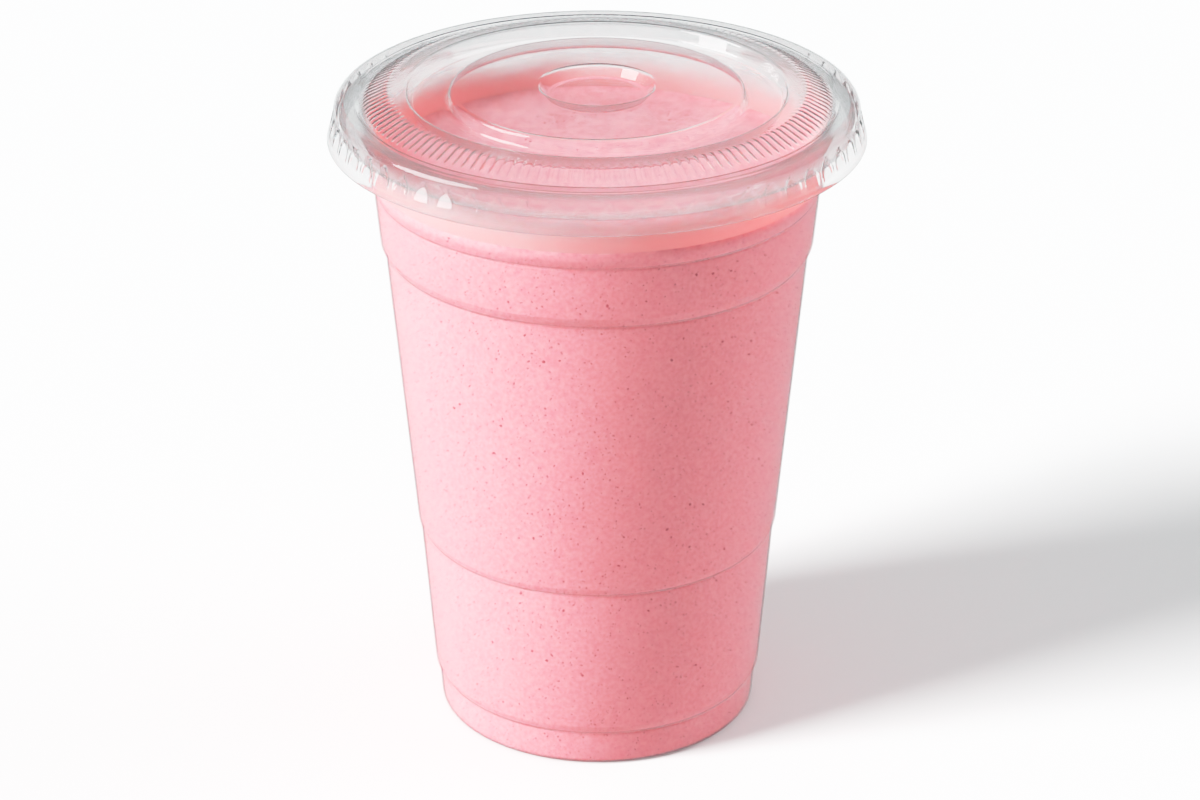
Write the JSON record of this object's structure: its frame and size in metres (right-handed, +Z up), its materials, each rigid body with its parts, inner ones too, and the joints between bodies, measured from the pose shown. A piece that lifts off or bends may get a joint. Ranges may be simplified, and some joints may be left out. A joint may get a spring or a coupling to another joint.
{
  "type": "takeaway cup of strawberry milkshake",
  "caption": "Clear tapered plastic takeaway cup with stacking steps and a flat clear ringed lid, filled nearly to the lip with thick pink strawberry milkshake.",
  "frame": {"origin": "centre of the cup's foot, on the surface that it stands on", "axes": "+Z up along the cup's axis, from the foot to the lid; X and Y level, -Y towards the viewer of the picture"},
  "size_m": [0.103, 0.103, 0.1307],
  "materials": {
    "cup_plastic": "clear thermoformed PET, glossy",
    "milkshake": "thick opaque pink dairy drink with fine red fruit specks, soft sheen",
    "lid_plastic": "clear thermoformed PET, glossy, with fine radial ribs"
  },
  "bodies": {
    "root": {"cup": "cup_plastic", "milkshake": "milkshake", "lid": "lid_plastic"}
  },
  "joints": []
}
